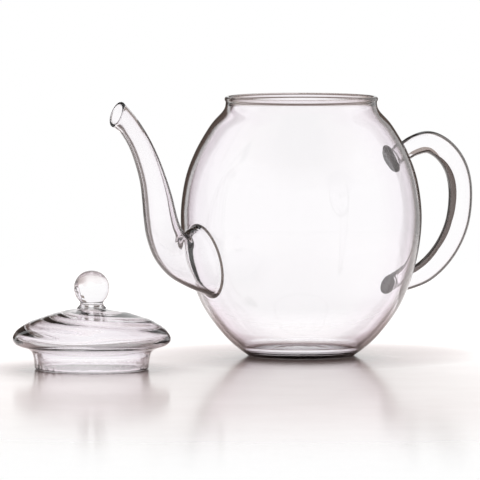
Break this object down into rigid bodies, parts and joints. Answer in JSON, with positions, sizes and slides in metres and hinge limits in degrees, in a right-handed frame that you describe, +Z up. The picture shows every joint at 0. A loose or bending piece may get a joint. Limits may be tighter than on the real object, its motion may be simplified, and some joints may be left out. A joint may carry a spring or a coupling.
{
  "type": "glass teapot",
  "caption": "Round blown glass teapot with a long drawn spout, a rod handle and a loose domed lid with a ball knob, standing beside it.",
  "frame": {"origin": "centre of the pot's flat base, on the surface it stands on", "axes": "+Z up along the pot's axis of turning, +X from the spout towards the handle, +Y to the left of someone looking along +X"},
  "size_m": [0.2707, 0.1206, 0.1297],
  "materials": {
    "blown_glass": "clear blown borosilicate glass, 2 mm wall, faint lavender tint",
    "drawn_glass": "clear drawn borosilicate tube, flame-shaped",
    "rod_glass": "clear solid borosilicate rod, flame-bent",
    "lid_glass": "clear blown borosilicate glass with drawn streaks"
  },
  "bodies": {
    "pot": {"body": "blown_glass", "rim": "blown_glass", "spout": "drawn_glass", "spout_weld": "drawn_glass", "handle": "rod_glass", "handle_upper_foot": "rod_glass", "handle_lower_foot": "rod_glass"},
    "lid": {"lid_dome": "lid_glass", "lid_skirt": "lid_glass", "lid_knob_stem": "lid_glass", "lid_knob_ball": "lid_glass"}
  },
  "joints": [
    {"name": "lid_lift", "type": "slide", "parent": "pot", "child": "lid", "axis": [0, -0.4, 0.9165], "range_m": [0, 0.16]}
  ]
}
